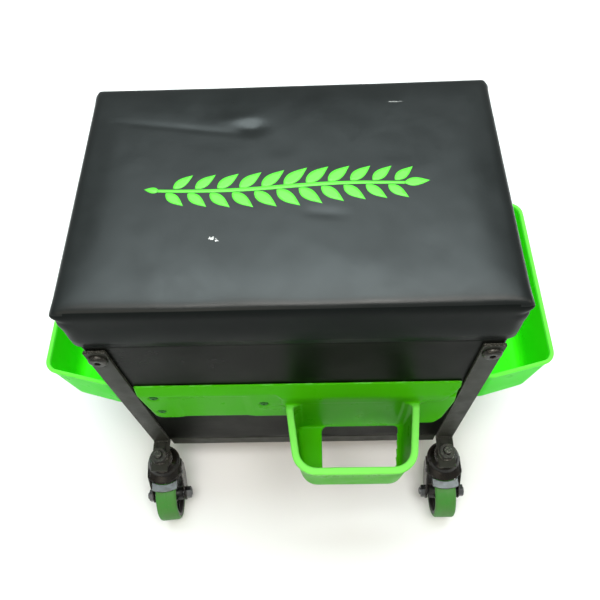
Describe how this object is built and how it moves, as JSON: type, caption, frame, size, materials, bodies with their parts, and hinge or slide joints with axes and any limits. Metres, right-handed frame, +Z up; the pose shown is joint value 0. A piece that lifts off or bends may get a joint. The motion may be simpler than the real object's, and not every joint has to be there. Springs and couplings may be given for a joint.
{
  "type": "rolling garden work seat",
  "caption": "Rolling work seat: a padded hinged lid on a storage box, steel frame on swivel casters, with plastic tool trays on the sides and front.",
  "frame": {"origin": "on the floor under the middle of the bounding box", "axes": "+Z up; the user sits facing -Y, where the front tray and bin are; +X to the right seen from the front; the side trays stand out along X"},
  "size_m": [0.523, 0.3766, 0.4179],
  "materials": {
    "leatherette": "satin",
    "box_cover": "semi-gloss",
    "foam": "matte",
    "plywood": "matte",
    "frame_steel": "satin",
    "tray_plastic": "semi-gloss",
    "caster_black": "gloss",
    "hub_plastic": "semi-gloss",
    "tread_green": "satin",
    "zinc": "bright zinc",
    "dark_fasteners": "black oxide"
  },
  "bodies": {
    "base": {"rail_front": "frame_steel", "rail_rear": "frame_steel", "rail_left": "frame_steel", "rail_right": "frame_steel", "leg_front_left": "frame_steel", "leg_front_right": "frame_steel", "leg_rear_left": "frame_steel", "leg_rear_right": "frame_steel", "box_front_panel": "box_cover", "box_back_panel": "box_cover", "box_left_panel": "box_cover", "box_right_panel": "box_cover", "box_floor": "plywood", "corner_blocks": "plywood", "leg_screws": "dark_fasteners", "floor_bolts": "zinc", "floor_nuts": "zinc", "front_tray": "tray_plastic", "left_tray": "tray_plastic", "right_tray": "tray_plastic", "front_tray_screws": "dark_fasteners", "side_tray_screws": "zinc", "hinge_leaves_lower": "zinc", "hinge_pins": "zinc", "hinge_screws_lower": "zinc", "caster_stems": "dark_fasteners", "caster_nuts": "dark_fasteners", "caster_washers": "dark_fasteners", "caster_cups": "caster_black"},
    "lid": {"lid_board": "plywood", "seat_foam": "foam", "seat_cover": "leatherette", "hinge_leaves_upper": "zinc", "hinge_screws_upper": "zinc"},
    "swivel_fl": {"fork_fl": "caster_black", "axle_bolt_fl": "zinc", "axle_nut_fl": "zinc", "brake_pin_fl": "zinc"},
    "wheel_fl": {"hub_fl": "hub_plastic", "tread_fl": "tread_green"},
    "brake_fl": {"brake_lever_fl": "zinc"},
    "swivel_fr": {"fork_fr": "caster_black", "axle_bolt_fr": "zinc", "axle_nut_fr": "zinc", "brake_pin_fr": "zinc"},
    "wheel_fr": {"hub_fr": "hub_plastic", "tread_fr": "tread_green"},
    "brake_fr": {"brake_lever_fr": "zinc"},
    "swivel_rl": {"fork_rl": "caster_black", "axle_bolt_rl": "zinc", "axle_nut_rl": "zinc"},
    "wheel_rl": {"hub_rl": "hub_plastic", "tread_rl": "tread_green"},
    "swivel_rr": {"fork_rr": "caster_black", "axle_bolt_rr": "zinc", "axle_nut_rr": "zinc"},
    "wheel_rr": {"hub_rr": "hub_plastic", "tread_rr": "tread_green"}
  },
  "joints": [
    {"name": "lid_hinge", "type": "hinge", "parent": "base", "child": "lid", "pos_m": [0, 0.1512, 0.358], "axis": [-1, 0, 0], "range_deg": [0, 100]},
    {"name": "swivel_fl", "type": "hinge", "parent": "base", "child": "swivel_fl", "pos_m": [-0.172, -0.1252, 0.088], "axis": [0, 0, 1], "continuous": true},
    {"name": "roll_fl", "type": "hinge", "parent": "swivel_fl", "child": "wheel_fl", "pos_m": [-0.1693, -0.15608, 0.0315], "axis": [0.9962, 0.0872, 0], "continuous": true},
    {"name": "brake_fl", "type": "hinge", "parent": "swivel_fl", "child": "brake_fl", "pos_m": [-0.17087, -0.13815, 0.062], "axis": [0.9962, 0.0872, 0], "range_deg": [0, 3.5]},
    {"name": "swivel_fr", "type": "hinge", "parent": "base", "child": "swivel_fr", "pos_m": [0.172, -0.1252, 0.088], "axis": [0, 0, 1], "continuous": true},
    {"name": "roll_fr", "type": "hinge", "parent": "swivel_fr", "child": "wheel_fr", "pos_m": [0.172, -0.1562, 0.0315], "axis": [1, 0, 0], "continuous": true},
    {"name": "brake_fr", "type": "hinge", "parent": "swivel_fr", "child": "brake_fr", "pos_m": [0.172, -0.1382, 0.062], "axis": [1, 0, 0], "range_deg": [0, 3.5]},
    {"name": "swivel_rl", "type": "hinge", "parent": "base", "child": "swivel_rl", "pos_m": [-0.172, 0.1688, 0.088], "axis": [0, 0, 1], "continuous": true},
    {"name": "roll_rl", "type": "hinge", "parent": "swivel_rl", "child": "wheel_rl", "pos_m": [-0.1693, 0.13792, 0.0315], "axis": [0.9962, 0.0872, 0], "continuous": true},
    {"name": "swivel_rr", "type": "hinge", "parent": "base", "child": "swivel_rr", "pos_m": [0.172, 0.1688, 0.088], "axis": [0, 0, 1], "continuous": true},
    {"name": "roll_rr", "type": "hinge", "parent": "swivel_rr", "child": "wheel_rr", "pos_m": [0.172, 0.1378, 0.0315], "axis": [1, 0, 0], "continuous": true}
  ]
}
